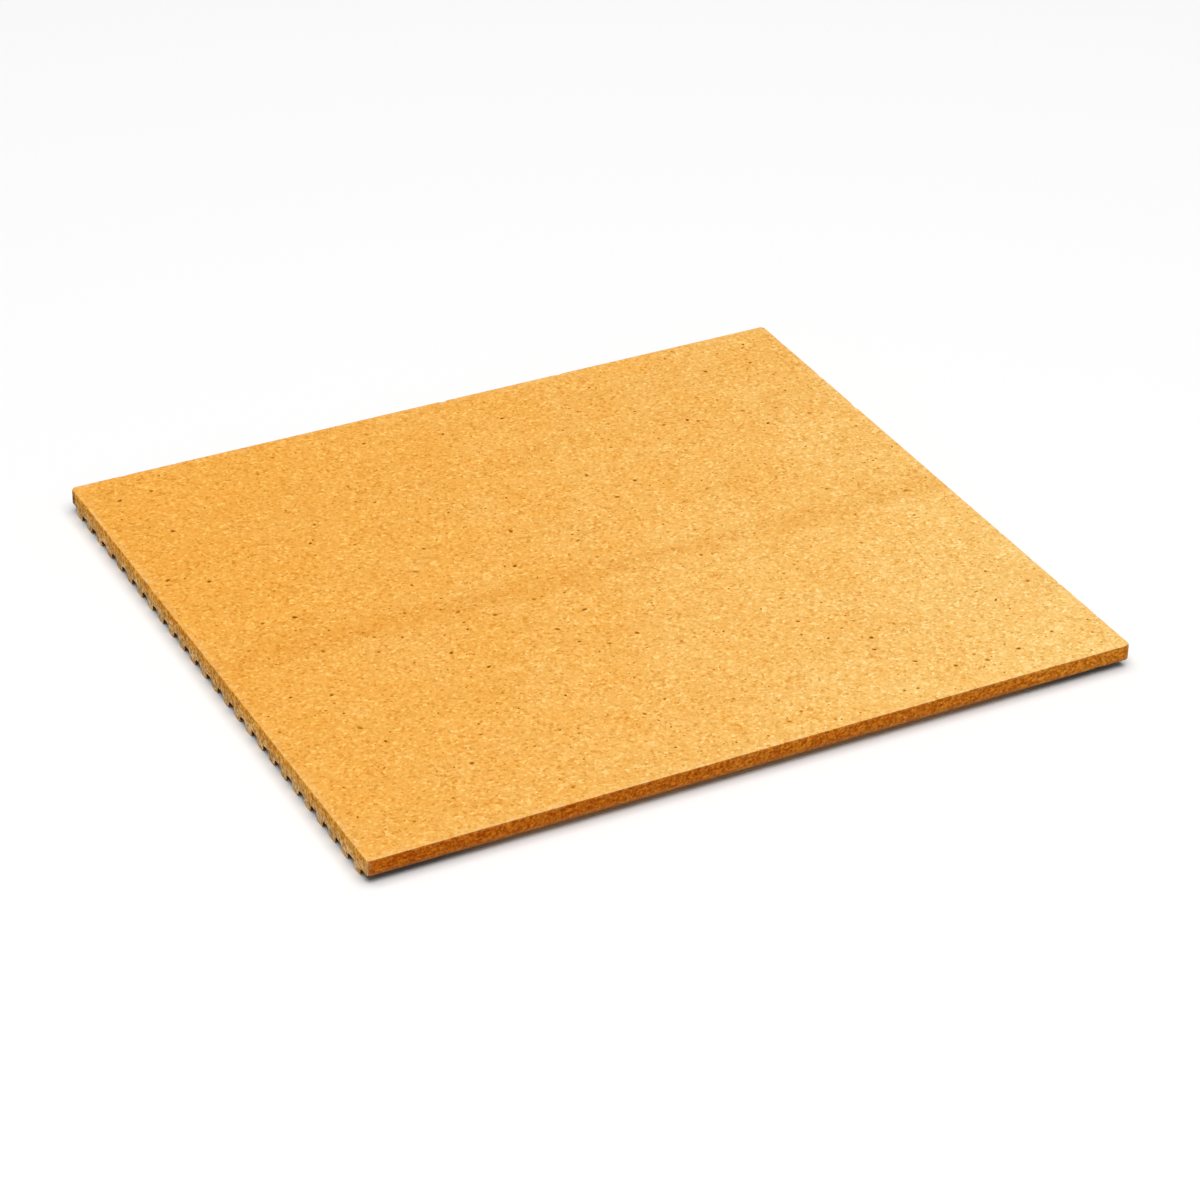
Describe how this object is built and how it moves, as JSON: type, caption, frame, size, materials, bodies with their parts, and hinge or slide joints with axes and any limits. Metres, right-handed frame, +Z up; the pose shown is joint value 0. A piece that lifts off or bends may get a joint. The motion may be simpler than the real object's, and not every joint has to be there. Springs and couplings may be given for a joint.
{
  "type": "pizza stone",
  "caption": "Rectangular baking stone of unglazed fired clay, with a flat baking face, eased edges and long ribs underneath that hold it off an oven shelf.",
  "frame": {"origin": "middle of the footprint, at the level of the rib feet", "axes": "+X along the ribs and the long side, +Y across the ribs towards the back edge, +Z up out of the baking face"},
  "size_m": [0.406, 0.356, 0.0127],
  "materials": {
    "fired_clay": "unglazed, matt, fine sandy grain with dark iron specks"
  },
  "bodies": {
    "root": {"baking_stone": "fired_clay"}
  },
  "joints": []
}
